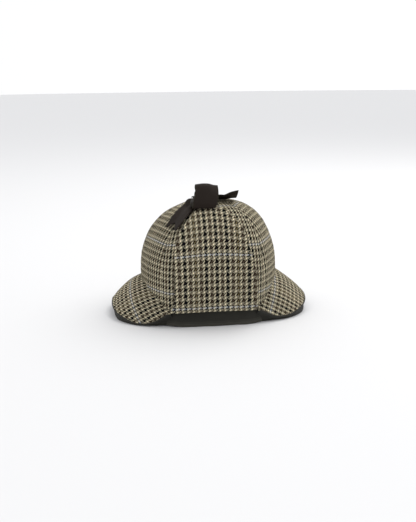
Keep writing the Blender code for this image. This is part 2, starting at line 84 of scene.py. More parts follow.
FOLD_HEIGHT = 0.0220  # of the ear flaps' fold, where the crown ends at its sides
EDGE_POWER = 2.0  # how the peaks' seams come down to it
SEAM_ALLOWANCE = 0.003  # how far the gores go on below the peaks' seams
SIDE_RISE = 0.001  # how far above the seams' height they end between the peaks
PEAK_REACH = 0.1462
PEAK_PLAN_POWER = 2.8
PEAK_CORNER = (0.0632, 0.0835)
PEAK_SPAN, PEAK_DEPTH = 0.26, 0.066
PEAKS = {
    "front_peak": {"side": -1, "seam_height": 0.0550, "bend_out": 0.59, "bend_down": 0.30},
    "rear_peak": {"side": 1, "seam_height": 0.0575, "bend_out": 0.45, "bend_down": 0.27},
}
# Heights of the peaks' outer edges, from the middle to the corner.
PEAK_EDGE_SHARE = (-0.25, 0.00, 0.25, 0.50, 0.70, 0.85, 1.00)
PEAK_EDGE_HEIGHT = {
    -1: (0.0150, 0.0168, 0.0150, 0.0095, 0.0030, 0.0060, 0.0210),
    1: (0.0175, 0.0195, 0.0175, 0.0115, 0.0060, 0.0076, 0.0210),
}
PEAK_TUCK = 0.0004  # how far each peak's inner edge reaches into the crown's cloth
PEAK_ROUNDING = 0.0008
FACING_SHOWS = 0.0016  # how far a facing shows below its peak's edge
FACING_LANDS = 0.45  # share of the way to the corner where it comes down to the ground
FACING_ROWS, FACING_DROP_ROWS = 30, 12
FACING_TUCK = 0.0012  # how far its edge passes from outside the band to inside it
FACING_ROUNDING = 0.0005
END_LIFTS = (0.0018, 0.0006)  # rise of the dark cloth off the ground beside the front and rear peaks
END_LIFT_MIDDLE, END_LIFT_SPREAD = 0.98, 0.11
BINDING_LENGTH, BINDING_GIRTH = 0.30, 0.0095
BINDING_DEEP, BINDING_HIGH = 0.0014, 0.00165
BINDING_SET_IN = 0.0004
BINDING_SIDES = 14

BAND_FLARE = 0.0054
BAND_FLARE_POWER = 1.2
BAND_INSIDE = 0.0150  # how far the band goes up inside the crown
BAND_END_HEIGHT = 0.0360  # of its lower edge behind the peaks
BAND_GIRTH, BAND_DEPTH = 0.5805, 0.045
BAND_ROUNDING = 0.0009
# Height below which the band's cloth is painted paler: painted light from the bright floor on its lower
# edge.
BAND_PAINTED_LIGHT_HEIGHT = 0.0085

SIDES = {"left": -1, "right": 1}  # towards -Y and +Y
FLAP_CLEAR = 0.0009
FLAP_STAND_OFF = 0.0035
FLAP_WIDTH, FLAP_LENGTH, FLAP_GRID = 0.118, 0.150, 0.0017
FLAP_TOP = 0.768
FLAP_WALL_SHARE = 0.167  # share of a flap that lies on the upright wall
# A flap's front and rear edges, from its fold to its tip.
FLAP_SHARE = (0.00, 0.05, 0.12, 0.26, 0.48, 0.60, 0.70, 0.82, 0.92, 1.00)
FLAP_FRONT = (-0.0612, -0.0586, -0.0558, -0.0543, -0.0522, -0.0473, -0.0404, -0.0304, -0.0214, -0.0150)
FLAP_REAR = (0.0572, 0.0589, 0.0592, 0.0574, 0.0490, 0.0449, 0.0401, 0.0313, 0.0210, 0.0140)

KNOT_CENTRE = (-0.0040, -0.0120, 0.1717)
KNOT_HALF = (0.0125, 0.0080, 0.0056)
KNOT_SQUARENESS = 2.6
KNOT_SIDES, KNOT_ROWS = 56, 28
LOOP_LEAN = 0.14  # how far a loop leans to the right, for each metre up from its middle
LOOP_MIDDLE = 0.1790
LOOP_PLEAT = 0.0012
# The loops' paths seen from the side: y and z, from the knot's lower side round to its upper side.
NEAR_LOOP = (
    (-0.0202, 0.1698), (-0.0270, 0.1692), (-0.0340, 0.1694), (-0.0405, 0.1678), (-0.0458, 0.1650),
    (-0.0492, 0.1624), (-0.0503, 0.1668), (-0.0490, 0.1730), (-0.0462, 0.1800), (-0.0424, 0.1872),
    (-0.0377, 0.1928), (-0.0325, 0.1942), (-0.0282, 0.1915), (-0.0248, 0.1860), (-0.0222, 0.1795),
    (-0.0202, 0.1740),
)
NEAR_LOOP_X, NEAR_LOOP_PINCH = -0.0072, 0.15
FAR_LOOP = (
    (-0.0038, 0.1698), (0.0050, 0.1681), (0.0145, 0.1678), (0.0225, 0.1681), (0.0270, 0.1702),
    (0.0247, 0.1742), (0.0165, 0.1772), (0.0075, 0.1776), (0.0005, 0.1760), (-0.0038, 0.1740),
)
FAR_LOOP_X, FAR_LOOP_PINCH = 0.0010, 0.3
TOP_PINCH = 0.3
# The tails' middle lines: x, y, z, width and how far the face is turned, in degrees.
LEFT_TAIL = (
    (-0.0172, -0.0225, 0.1702, 0.014, 10), (-0.0238, -0.0262, 0.1677, 0.019, 24),
    (-0.0298, -0.0322, 0.1638, 0.0175, 12), (-0.0372, -0.0402, 0.1595, 0.0205, 4),
    (-0.0447, -0.0474, 0.1527, 0.0235, 0), (-0.0518, -0.0533, 0.1446, 0.024, 0),
    (-0.0585, -0.0580, 0.1365, 0.024, 0),
)
RIGHT_TAIL = (
    (0.0090, -0.0122, 0.1725, 0.016, 18), (0.0136, -0.0126, 0.1726, 0.018, 24),
    (0.0200, -0.0110, 0.1720, 0.0255, 20), (0.0278, -0.0100, 0.1729, 0.030, 23),
    (0.0357, -0.0100, 0.1738, 0.0325, 26), (0.0436, -0.0100, 0.1743, 0.0335, 28),
)
TAIL_NOTCH = 0.011  # depth of the left tail's swallowtail
TAIL_FOLD = 0.0010  # radius of the fold along a tail
TAIL_LEAST, TAIL_SPARE = 0.008, 1.7  # least visible width, and the cloth's width for each metre of it
TAIL_PLEAT, TAIL_CURL = 0.0009, 0.0010
STRAP_X = -0.0040
STRAP_START = 0.0400
STRAP_NARROWS = 0.25
STRAP_FOLD = 0.0006
STRAP_CLIMB = (0.021, 0.032)  # how far from the middle it climbs over the flap's tip

# ---- The cloth

THREAD_ACROSS = 0.000925  # pitch of the warp threads
THREAD_UP = 0.001178  # pitch of the weft threads
CHECK = 8.0  # threads in a check, the first four of them dark
OVERCHECK = 8.0  # checks from one overcheck line to the next
TWILL = 4.0  # threads in which the two-and-two twill comes round again
DARK_MIDDLE, LIGHT_MIDDLE = 1.5, 5.5  # middles of a check's dark and light threads

LIGHT_YARN = (0.76, 0.675, 0.47)
LIGHT_WEFT = (0.30, 0.277, 0.204)
BLACK_YARN = (0.0030, 0.0030, 0.0040)
BROWN_YARN = (0.078, 0.055, 0.036)
STRIPE_YARN = (0.165, 0.128, 0.062)
PALE_YARN = (0.36, 0.38, 0.40)
LINING_COLOUR = (0.028, 0.027, 0.022)
RIBBON_COLOUR = (0.0185, 0.0128, 0.0095)
# Lighter olive along the ribbon's edges: partly its selvedge's own colour, partly a painted highlight where
# the edges catch the light.
RIBBON_SELVEDGE_AND_HIGHLIGHT_COLOUR = (0.028, 0.026, 0.016)
RIBBON_SELVEDGE_AND_HIGHLIGHT_WIDTH = 0.0009  # width of that lighter edge strip, selvedge and painted highlight
RIB = 0.0010  # pitch of its ribs

# How much closer than its flat cut the weave lies, and how far it is shifted, across and up.
GORE_EASE = (1.35, 1.08)
GORE_PHASE = ((0.006, -0.0265),) * 6 + ((0.006, -0.0232),) * 2
PEAK_EASE = 1.2
PEAK_GRAIN = {"front_peak": (12.0, 0.004, -0.0114), "rear_peak": (-10.0, 0.004, 0.0396)}  # degrees first
FLAP_PHASE = (0.0268 + 1.25 * THREAD_ACROSS, -0.0073 + 3 * THREAD_UP)

# ---- The studio

CAMERA_AZIMUTH, CAMERA_ELEVATION, CAMERA_ROLL = -6, 15, 0.7
CAMERA_DISTANCE, CAMERA_TARGET = 1.05, (0, 0, 0.0725)
LENS, SENSOR = 48.0, 36.0
FLOOR_RADIUS, FLOOR_SIDES = 14.0, 96
FLOOR_COLOUR = (0.735, 0.737, 0.745, 1.0)
SKY_COLOUR = (0.99, 0.992, 1.0, 1.0)
# Along each axis: between these two parts of a direction, the sky goes from one strength to the other.
SKY_CHANGES = {"Y": (-0.85, 0.10, 0.48, 0.89), "Z": (0.12, 0.70, 1.0, 1.25), "X": (-0.80, 0.80, 1.10, 1.20)}
KEY_PLACE, KEY_TARGET = (0.9, 0.5, 1.70), (0, 0, 0.08)
KEY_SIZE, KEY_POWER, KEY_COLOUR = 2.0, 18.0, (1.0, 0.985, 0.96)


# ---- Small maths

def curve(keys, values, at):
    """Value at a place between keys, on a smooth curve through the values."""
    keys, values = np.asarray(keys, float), np.asarray(values, float)
    at = np.asarray(at, float)
    last = len(keys) - 1
    i = np.clip(np.searchsorted(keys[1:], at, side="left"), 0, last - 1)
    before, after = np.maximum(i - 1, 0), np.minimum(i + 2, last)
    span = keys[i + 1] - keys[i]
    t = np.clip((at - keys[i]) / span, 0, 1)
    rise = (values[i + 1] - values[before]) / (keys[i + 1] - keys[before]) * span
    fall = (values[after] - values[i]) / (keys[after] - keys[i]) * span
    return (
        (2 * t ** 3 - 3 * t ** 2 + 1) * values[i]
        + (t ** 3 - 2 * t ** 2 + t) * rise
        + (3 * t ** 2 - 2 * t ** 3) * values[i + 1]
        + (t ** 3 - t ** 2) * fall
    )


def path(rows, column, share):
    """A column of evenly spaced rows at a share of the way."""
    values = [row[column] for row in rows]
    return curve(range(len(rows)), values, np.asarray(share) * (len(rows) - 1))


def row_length(rows, columns):
    line = np.stack([path(rows, c, np.linspace(0, 1, 400)) for c in columns], axis=-1)
    return float(length(np.diff(line, axis=0)).sum())


def ease(start, end, value):
    t = np.clip((np.asarray(value, float) - start) / (end - start), 0, 1)
    return t * t * (3 - 2 * t)


def points(x, y, z):
    return np.stack(np.broadcast_arrays(x, y, z), axis=-1).astype(float)


def length(p):
    return np.linalg.norm(p, axis=-1)


def unit(p):
    return p / np.maximum(length(p), 1e-12)[..., None]


def level(p):
    return unit(p * np.array((1.0, 1.0, 0.0)))


def upright(out):
    """Straight up, as far as it takes to go 1 along the given direction."""
    return points(0.0, 0.0, 1 / np.maximum(out[..., 2], 0.3))


def normal_of(face, u, v, step=5e-4):
    across = face(u + step, v) - face(u - step, v)
    up = face(u, v + step) - face(u, v - step)
    return unit(np.cross(across, up))


def running_sum(steps):
    return np.concatenate(((0,), np.cumsum(steps)))


def waver(p, cloth):
    """A slow unevenness of hand-shaped cloth: metres of rise at a place."""
    size, scale = WAVER[cloth]
    x, y, z = (p[..., k] / scale for k in range(3))
    return size * (
        0.45 * np.sin(5.1 * x + 2.3 * y - 1.7 * z + 0.7)
        + 0.35 * np.sin(-3.1 * x + 4.7 * y + 3.9 * z + 2.1)
        + 0.20 * np.sin(8.3 * x - 5.9 * y + 7.7 * z + 4.4)
    )


# ---- The crown's form
# An angle turns about the hat's axis, 0 at the rear. A run goes up the wall: metres below the spring, where
# it is negative, and above it a share of the way to the top. A ring is a level outline's share of the base.

def dome_power(angle):
    return DOME_POWER_END + (DOME_POWER_SIDE - DOME_POWER_END) * np.sin(angle) ** 2


def plan_gauge(along, across, ring):
    """Size of the outline through a place given in half-lengths and half-widths, for outlines of a ring."""
    power = PLAN_POWER_TOP + (PLAN_POWER_BASE - PLAN_POWER_TOP) * ring ** 2
    swell = 1 - PLAN_SWELL * ring ** 2
    oval = (np.abs(along) ** power + (swell * np.abs(across)) ** power) ** (PLAN_FLATNESS / power)
    side = np.abs(across) ** PLAN_FLATNESS * (1 - swell ** PLAN_FLATNESS)
    return (oval + side) ** (1 / PLAN_FLATNESS)


def ring_point(angle, ring, height):
    c, s = np.cos(angle), np.sin(angle)
    reach = ring / plan_gauge(c, s, ring)
    lean = CROWN_LEAN * (1 - ring)
    return points(CROWN_HALF_LENGTH * reach * c + lean, CROWN_HALF_WIDTH * reach * s, height)


def crown_level(angle, run):
    turn = np.clip(run, 0, 1) * np.pi / 2
    shape = 2 / dome_power(angle)
    ring = np.where(run <= 0, 1.0, np.cos(turn) ** shape)
    rise = (CROWN_TOP - SPRING) * np.sin(turn) ** shape
    return ring, SPRING + np.where(run <= 0, run, rise)


def run_at(angle, height):
    rise = np.clip((height - SPRING) / (CROWN_TOP - SPRING), 0, 1)
    up = np.arcsin(rise ** (dome_power(angle) / 2)) / (np.pi / 2)
    return np.where(height <= SPRING, height - SPRING, up)


def crown_smooth(angle, run):
    return ring_point(angle, *crown_level(angle, run))


def crown_normal(angle, run):
    return normal_of(crown_smooth, angle, run, 1e-3)


def wall_out(angle):
    return level(crown_normal(angle, np.full_like(angle, -0.01)))


def mirrored(quarter):
    half = list(quarter) + [180 - a for a in reversed(quarter[:-1])]
    whole = half + [360 - a for a in reversed(half[:-1])]
    return np.radians(whole)


SEAMS = mirrored((0, GORE_SEAM, 90))


def dome_waver(p):
    return waver(p, "dome") * ease(WAVER_STARTS, WAVER_FULL, p[..., 2])


def crown_face(angle, run):
    """The crown's outside, drawn in and lightly puckered along its seams."""
    base, out = crown_smooth(angle, run), crown_normal(angle, run)
    seam = SEAMS[np.argmin(np.abs(np.asarray(angle)[..., None] - SEAMS), axis=-1)]
    off_seam = length(base - crown_smooth(seam, run))
    dent = SEAM_DENT * np.exp(-((off_seam / SEAM_DENT_SPREAD) ** 2))
    pucker = PUCKER * np.sin(base[..., 2] / PUCKER_PACE + seam * 5)
    pucker = pucker * np.exp(-((off_seam / PUCKER_SPREAD) ** 2))
    return base + out * (dome_waver(base) - dent + pucker)[..., None]


def corner_share(angle):
    """How far round an angle is, from 0 in the middle of a peak to 1 at its corner and more past it."""
    return np.arctan2(np.abs(np.sin(angle)), np.abs(np.cos(angle))) / math.radians(CORNER)


def seam_height(angle):
    top = np.where(np.cos(angle) < 0, PEAKS["front_peak"]["seam_height"], PEAKS["rear_peak"]["seam_height"])
    return FOLD_HEIGHT + (top - FOLD_HEIGHT) * (1 - np.minimum(corner_share(angle), 1) ** EDGE_POWER)


def crown_low(angle):
    rise = (SEAM_ALLOWANCE + SIDE_RISE) * ease(0.8, 1.0, corner_share(angle))
    return seam_height(angle) - SEAM_ALLOWANCE + rise


def dome_cut(start, angle, run):
    """Flat place of the dome's cloth: across from the line up the crown whose angle is start(run), and up
    from the fold's height."""
    lowest, highest, strides, step, sharpest = -0.04, 0.999, 16, 1e-3, 40
    runs = np.concatenate((np.linspace(lowest, 0, 60)[:-1], np.linspace(0, highest, 500)))
    up = running_sum(length(np.diff(crown_smooth(start(runs), runs), axis=0)))
    width = np.log(length(crown_smooth(start(runs) + step, runs) - crown_smooth(start(runs) - step, runs)))
    bend = np.clip(-np.gradient(width, up), 0, sharpest)
    origin = start(run)
    across, last = np.zeros(np.shape(run)), crown_smooth(origin, run)
    for k in range(1, strides + 1):
        here = crown_smooth(origin + (angle - origin) * k / strides, run)
        across += length(here - last)
        last = here
    across *= np.sign(angle - origin)
    rise = np.interp(run, runs, up) - np.interp(FOLD_HEIGHT - SPRING, runs, up)
    return across, rise + np.interp(run, runs, bend) * across ** 2 / 2


# ---- Meshes

EDGE_STEPS = 5  # strips round a wall's edge


def even(span, step=GRID):
    """Shares from 0 to 1 in steps of about this many metres."""
    return np.linspace(0, 1, max(4, round(span / step)) + 1)


def add_object(name, data):
    item = bpy.data.objects.new(name, data)
    bpy.context.scene.collection.objects.link(item)
    return item


def quads(grid):
    """The four corners of each cell of a grid of numbers."""
    return np.stack((grid[:-1, :-1], grid[:-1, 1:], grid[1:, 1:], grid[1:, :-1]), axis=-1).reshape(-1, 4)


def mesh_object(name, verts, faces, uvs, slots, materials):
    """faces are quads of vertex numbers, uvs has a place for each corner of each face."""
    verts, faces = np.asarray(verts, float), np.asarray(faces, int)
    a, b, c, d = (verts[faces[:, k]] for k in range(4))
    volume = (a * np.cross(b, c)).sum() + (a * np.cross(c, d)).sum()
    if volume < 0:
        faces, uvs = faces[:, ::-1], uvs[:, ::-1]
    mesh = bpy.data.meshes.new(name)
    mesh.vertices.add(len(verts))
    mesh.vertices.foreach_set("co", verts.ravel())
    mesh.loops.add(faces.size)
    mesh.loops.foreach_set("vertex_index", faces.ravel())
    mesh.polygons.add(len(faces))
    mesh.polygons.foreach_set("loop_start", np.arange(len(faces)) * 4)
    mesh.polygons.foreach_set("material_index", np.asarray(slots, int))
    layer = mesh.uv_layers.new(name="UVMap")
    layer.data.foreach_set("uv", np.asarray(uvs, float).ravel())
    mesh.update(calc_edges=True)
    mesh.validate()
    for material in materials:
        mesh.materials.append(material)
    mesh.shade_smooth()
    return add_object(name, mesh)


def shell(name, face, us, vs, thickness, cut, materials, turn=1, closed=False, through=None, radius=None):
    """A wall of cloth with rounded edges. face(u, v) is its outer side.

    cut(u, v) is the flat place of that point on the cloth. The second material, if there is one, is for
    the inner side. through(v, out) gives the direction through the cloth where it isn't the normal.
    """
    u, v = np.meshgrid(us, vs)
    outer = face(u, v)
    out = normal_of(face, u, v) * turn
    inward = through(v, out) if through else out
    inner = outer - inward * thickness
    flat = np.stack(np.broadcast_arrays(*cut(u, v)), axis=-1).astype(float)
    rows, columns = u.shape
    total = rows * columns
    index = np.arange(total).reshape(rows, columns)
    number = index.copy()
    if closed:
        number[:, -1] = number[:, 0]

    bottom = [(0, i) for i in range(columns)]
    top = [(rows - 1, i) for i in range(columns)]
    if closed:
        loops = [np.array(bottom[:-1]), np.array(top[:-1])[::-1]]
    else:
        right = [(j, columns - 1) for j in range(1, rows - 1)]
        left = [(j, 0) for j in range(rows - 2, 0, -1)]
        loops = [np.array(bottom + right + top[::-1] + left)]

    radius = thickness / 2 if radius is None else radius
    lines, line_places, rim = [], [], []
    for loop in loops:
        j, i = loop[:, 0], loop[:, 1]
        ji, ii = np.clip(j, 1, rows - 2), i if closed else np.clip(i, 1, columns - 2)
        edge, near = outer[j, i].copy(), outer[ji, ii]
        along = np.roll(edge, -1, axis=0) - np.roll(edge, 1, axis=0)
        aside = unit(np.cross(along, inward[j, i]))
        if (aside * (edge - near)).sum() < 0:
            aside = -aside
        room = np.abs((aside * (edge - near)).sum(axis=-1))
        turn_in = np.minimum(radius, 0.65 * room)[:, None]
        slope = (flat[j, i] - flat[ji, ii]) / np.maximum(length(edge - near), 1e-6)[:, None]
        middle = edge - aside * turn_in - inward[j, i] * thickness / 2
        outer[j, i] -= aside * turn_in
        inner[j, i] -= aside * turn_in
        flat[j, i] -= slope * turn_in
        base = flat[j, i].copy()
        ids = [number[j, i]]
        for k in range(1, EDGE_STEPS):
            phi = np.pi * k / EDGE_STEPS
            ids.append(total * 2 + sum(len(line) for line in lines) + np.arange(len(loop)))
            lines.append(middle + aside * turn_in * np.sin(phi) + inward[j, i] * thickness / 2 * np.cos(phi))
            line_places.append(base + slope * (thickness / 2 * phi))
        ids.append(number[j, i] + total)
        for a, b in zip(ids, ids[1:]):
            rim.append(np.stack((a, np.roll(a, -1), np.roll(b, -1), b), axis=-1))

    verts = np.concatenate([outer.reshape(-1, 3), inner.reshape(-1, 3)] + lines)
    places = np.concatenate([flat.reshape(-1, 2)] * 2 + line_places)
    rim = np.concatenate(rim)[:, ::-1]
    front, front_uvs = quads(number), quads(index)
    faces = np.concatenate((front, (front + total)[:, ::-1], rim))
    uv_ids = np.concatenate((front_uvs, (front_uvs + total)[:, ::-1], rim))
    slots = np.zeros(len(faces), int)
    if len(materials) > 1:
        slots[len(front):2 * len(front)] = 1
    return mesh_object(name, verts, faces, places[uv_ids], slots, materials)


def bar(name, face, around, vs, cut, material):
    """A solid bar with closed ends. face(u, v) goes round it with u and along it with v."""
    u, v = np.meshgrid(np.linspace(0, 1, around + 1), vs)
    grid = face(u, v)[:, :-1]
    rows = len(vs)
    number = np.arange(rows * around).reshape(rows, around)
    number = np.concatenate((number, number[:, :1]), axis=1)
    index = np.arange(number.size).reshape(number.shape)
    caps = []
    for base in (0, (rows - 1) * around):
        for k in range(around // 2 - 1):
            cap = [base + k, base + k + 1, base + around - 2 - k, base + around - 1 - k]
            caps.append(cap if base else cap[::-1])
    faces = np.concatenate((quads(number), np.array(caps)))
    uv_ids = np.concatenate((quads(index), np.zeros((len(caps), 4), int)))
    places = np.stack(cut(u, v), axis=-1).reshape(-1, 2)
    return mesh_object(name, grid.reshape(-1, 3), faces, places[uv_ids], np.zeros(len(faces)), (material,))


def clothe(piece, slot, *nodes):
    """Lets a piece ride on the hat in place of the named nodes."""
    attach(piece, "root")
    if nodes:
        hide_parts(*nodes)
    return piece


# ---- Materials

def feed(tree, node, inputs):
    """Gives a node's inputs, by name or number, their values, Wires or other nodes' outputs."""
    for key, value in inputs.items():
        if isinstance(value, Wire):
            value = value.socket
        if isinstance(value, bpy.types.NodeSocket):
            tree.links.new(value, node.inputs[key])
        else:
            node.inputs[key].default_value = value


def make_node(tree, kind, inputs, **settings):
    node = tree.nodes.new("ShaderNode" + kind)
    for name, value in settings.items():
        setattr(node, name, value)
    feed(tree, node, inputs)
    return node


def wired(operation):
    return lambda self, *others: self.make(operation, *others)


class Wire:
    """A number in a shader, which can be reckoned with."""

    def __init__(self, tree, socket):
        self.tree, self.socket = tree, socket

    def make(self, operation, *others):
        inputs = dict(enumerate((self,) + others))
        node = make_node(self.tree, "Math", inputs, operation=operation)
        return Wire(self.tree, node.outputs[0])

    __add__, __sub__, __mul__, __truediv__ = map(wired, ("ADD", "SUBTRACT", "MULTIPLY", "DIVIDE"))
    __lt__, __gt__, at_least = map(wired, ("LESS_THAN", "GREATER_THAN", "MAXIMUM"))
    floor, mod, sin, size = map(wired, ("FLOOR", "FLOORED_MODULO", "SINE", "ABSOLUTE"))


class Cloth:
    """A material's node tree, with its shader ready."""

    def __init__(self, name, roughness, specular, sheen=0.0):
        self.material = bpy.data.materials.new(name)
        self.material.use_nodes = True
        self.tree = self.material.node_tree
        self.shader = self.tree.nodes["Principled BSDF"]
        inputs = {"Roughness": roughness, "Specular IOR Level": specular, "Sheen Weight": sheen}
        feed(self.tree, self.shader, inputs)

    def flat_place(self):
        """The cut's two coordinates, in metres."""
        source = make_node(self.tree, "UVMap", {}, uv_map="UVMap")
        split = make_node(self.tree, "SeparateXYZ", {0: source.outputs["UV"]})
        return Wire(self.tree, split.outputs["X"]), Wire(self.tree, split.outputs["Y"])

    def body_place(self):
        return make_node(self.tree, "TexCoord", {}).outputs["Object"]

    def vector(self, x, y, z=0.0):
        return make_node(self.tree, "CombineXYZ", {0: x, 1: y, 2: z}).outputs[0]

    def noise(self, where, scale=1.0, detail=2.0):
        """Soft noise about 0, mostly within half a unit."""
        node = make_node(self.tree, "TexNoise", {"Vector": where, "Scale": scale, "Detail": detail})
        return Wire(self.tree, node.outputs["Fac"]) - 0.5

    def mix(self, share, first, second):
        """Between two colours, each a triple or an output."""
        first, second = ((*c, 1.0) if isinstance(c, tuple) else c for c in (first, second))
        return make_node(self.tree, "Mix", {0: share, 6: first, 7: second}, data_type="RGBA").outputs[2]

    def shade(self, colour, factor):
        """The colour times a number."""
        inputs = {0: colour, "Scale": factor}
        return make_node(self.tree, "VectorMath", inputs, operation="SCALE").outputs[0]

    def finish(self, colour, height, depth):
        """Joins the colour and a relief of the given depth in metres."""
        bump = make_node(self.tree, "Bump", {"Distance": depth, "Strength": 1.0, "Height": height})
        feed(self.tree, self.shader, {"Base Color": colour, "Normal": bump.outputs[0]})
        return self.material


def tweed_material():
    """Houndstooth tweed: four dark and four light threads each way in a two-and-two twill, warp to the fore.

    The warp's dark groups take turns in brown and black, and the weft's are all black. In every eighth group
    the two middle threads are the overcheck's.
    """
    cloth = Cloth("tweed_houndstooth", roughness=0.95, specular=0.05)
    body = cloth.body_place()
    u, v = cloth.flat_place()
    wander = cloth.noise(body, scale=260.0, detail=1.0)
    wander_up = cloth.noise(cloth.vector(v * 300.0, u * 300.0), detail=1.0)
    s = u / THREAD_ACROSS + wander * 0.5
    t = v / THREAD_UP + wander_up * 0.5
    i, j = s.floor(), t.floor()
    warp_on_top = (i - j).mod(TWILL) < TWILL / 2
    weft_on_top = warp_on_top * -1.0 + 1.0

    def is_dark(thread):
        return thread.mod(CHECK) < CHECK / 2

    def is_middle(thread, centre):
        return (thread.mod(CHECK) - centre).size() < 1.0

    def yarn(thread, light, second_dark, overcheck):
        """Colour of a thread of the warp or the weft. The first group's dark threads beside the overcheck's
        are of the second dark colour too."""
        group = (thread / CHECK).floor().mod(OVERCHECK)
        first = group < 0.5
        dark = cloth.mix((group.mod(2.0) > 0.5).at_least(first), BLACK_YARN, second_dark)
        dark = cloth.mix(is_middle(thread, DARK_MIDDLE) * first, dark, overcheck)
        return cloth.mix(is_dark(thread), light, dark)

    # Where light crosses light, the cell is dimmed but for its middle. The outer two of four light warp
    # threads are dimmed all along, and dark weft shows between light warp threads that cross it.
    dark_weft = is_dark(j)
    light_warp, light_weft = is_dark(i) * -1.0 + 1.0, dark_weft * -1.0 + 1.0
    mid_warp, mid_weft = is_middle(i, LIGHT_MIDDLE), is_middle(j, LIGHT_MIDDLE)
    cell = light_warp * light_weft * (mid_warp * mid_weft * 0.50 - 0.30) + 1.0
    warp_side = (light_warp - mid_warp) * -0.40 + 1.0
    warp_round = ((s - i) * math.pi).sin()
    weft_round = ((t - j) * math.pi).sin()
    weft_shows = weft_on_top + warp_on_top * light_warp * dark_weft * (warp_round < 0.45)
    warp_tone = cloth.noise(cloth.vector(i * 3.17, v * 180.0))
    weft_tone = cloth.noise(cloth.vector(u * 180.0, j * 3.17, 9.0))
    # Each thread's colour falls off towards its sides: painted shade in the gaps between round threads.
    warp_light = (warp_round * 0.28 + 0.80 + warp_tone * 0.8) * cell * warp_side
    warp_light = warp_light * (light_warp * dark_weft * 0.15 + 1.0)
    weft_light = (weft_round * 0.28 + 0.78 + weft_tone * 0.8) * cell
    warp = cloth.shade(yarn(i, LIGHT_YARN, BROWN_YARN, STRIPE_YARN), warp_light)
    weft = cloth.shade(yarn(j, LIGHT_WEFT, BLACK_YARN, PALE_YARN), weft_light)
    fibres = cloth.noise(body, scale=2600.0, detail=3.0)
    slow = cloth.noise(body, scale=38.0, detail=3.0)
    factor = fibres * 0.6 + slow * 0.30 + 1.0
    colour = cloth.shade(cloth.mix(weft_shows, warp, weft), factor.at_least(0.25))

    # Each thread is round, and rises where it crosses over two others.
    warp_over = ((t - i + 1.0).mod(TWILL) * (math.pi / 2)).sin() * warp_on_top
    weft_over = ((s - j - 2.0).mod(TWILL) * (math.pi / 2)).sin() * weft_shows
    relief = warp_round * warp_on_top + weft_round * weft_shows + warp_over + weft_over
    return cloth.finish(colour, relief * 0.5 + fibres * 0.8, depth=0.00022)


def lining_material(name="dark_olive_cotton", painted_light_height=None):
    """Dark olive cotton, finely woven. Given a height, the cloth below it is painted paler: painted light on
    the band's lower edge, which the bright floor lights.
    """
    cloth = Cloth(name, roughness=0.85, specular=0.2, sheen=0.10)
    body = cloth.body_place()
    u, v = cloth.flat_place()
    slow = cloth.noise(body, scale=30.0, detail=3.0)
    fine = cloth.noise(body, scale=1800.0)
    rib = ((u + v) * (2 * math.pi / 0.0009)).sin()
    weave = ((u - v * 0.35) * (2 * math.pi / 0.00055)).sin()
    factor = slow * 0.5 + fine * 0.5 + rib * 0.08 + 1.0
    # Painted light: below the given height, along a wavering line, the colour is made paler, standing in for
    # light from the bright floor on the band's lower edge.
    if painted_light_height:
        painted_light_waver = cloth.noise(cloth.vector(u * 60.0, v * 10.0))
        height = v + painted_light_waver * 0.004
        factor = factor * ((height < painted_light_height) * 0.35 + (height < painted_light_height * 0.6) * 0.45 + 1.0)
    colour = cloth.shade(LINING_COLOUR, factor)
    return cloth.finish(colour, rib * 0.5 + weave * 0.3 + fine * 0.8, depth=0.00008)


def ribbon_material():
    """Grosgrain ribbon: ribs across its width, with a lighter olive edge that is partly its selvedge and
    partly a painted highlight.
    """
    cloth = Cloth("grosgrain_ribbon", roughness=0.60, specular=0.12)
    body = cloth.body_place()
    u, v = cloth.flat_place()
    slow = cloth.noise(body, scale=45.0, detail=3.0)
    fine = cloth.noise(cloth.vector(u * 300.0, v * 2600.0))
    rib = (v * (2 * math.pi / RIB)).sin()
    # The edge strips get the lighter colour: the selvedge's own tone together with a painted highlight.
    edge = u.size() > (RIBBON_WIDTH / 2 - RIBBON_SELVEDGE_AND_HIGHLIGHT_WIDTH)
    factor = slow * 0.35 + fine * 0.5 + rib * 0.14 + 1.0
    colour = cloth.shade(cloth.mix(edge, RIBBON_COLOUR, RIBBON_SELVEDGE_AND_HIGHLIGHT_COLOUR), factor)
    return cloth.finish(colour, rib * 0.5 + fine * 0.35, depth=0.00016)


# ---- Pieces: the crown

def make_gore(index, tweed, lining):
    start, end = SEAMS[index], SEAMS[index + 1]
    top = math.acos(GORE_TIP ** (DOME_POWER_END / 2)) / (math.pi / 2)
    centre = (start + end) / 2
    low_share, first_run = 0.3, 0.12
    low_rows, high_rows = 21, 63

    def place(u, v):
        angle = start + (end - start) * u
        low = crown_low(angle)
        first = crown_level(angle, np.full_like(u, first_run))[1]
        below = run_at(angle, low + (first - low) * v / low_share)
        above = first_run + (v - low_share) / (1 - low_share) * (top - first_run)
        return angle, np.where(v < low_share, below, above)

    def face(u, v):
        angle, run = place(u, v)
        along = unit(crown_smooth(angle + 0.01, run) - crown_smooth(angle - 0.01, run))
        aside = np.where(u < 0.02, -1.0, np.where(u > 0.98, 1.0, 0.0)) * SEAM_LAP
        return crown_face(angle, run) + along * aside[..., None]

    def cut(u, v):
        across, up = dome_cut(lambda run: np.full(np.shape(run), centre), *place(u, v))
        return across * GORE_EASE[0] + GORE_PHASE[index][0], up * GORE_EASE[1] + GORE_PHASE[index][1]

    rows = np.concatenate((
        np.linspace(0, low_share, low_rows, endpoint=False), np.linspace(low_share, 1, high_rows + 1),
    ))
    piece = shell(
        f"gore_{index + 1}", face, even(GORE_WIDTH), rows, TWEED, cut, (tweed, lining), radius=SEAM_ROUNDING
    )
    return clothe(piece, "tweed", f"crown_gore_{index + 1}")


# ---- Pieces: the peaks

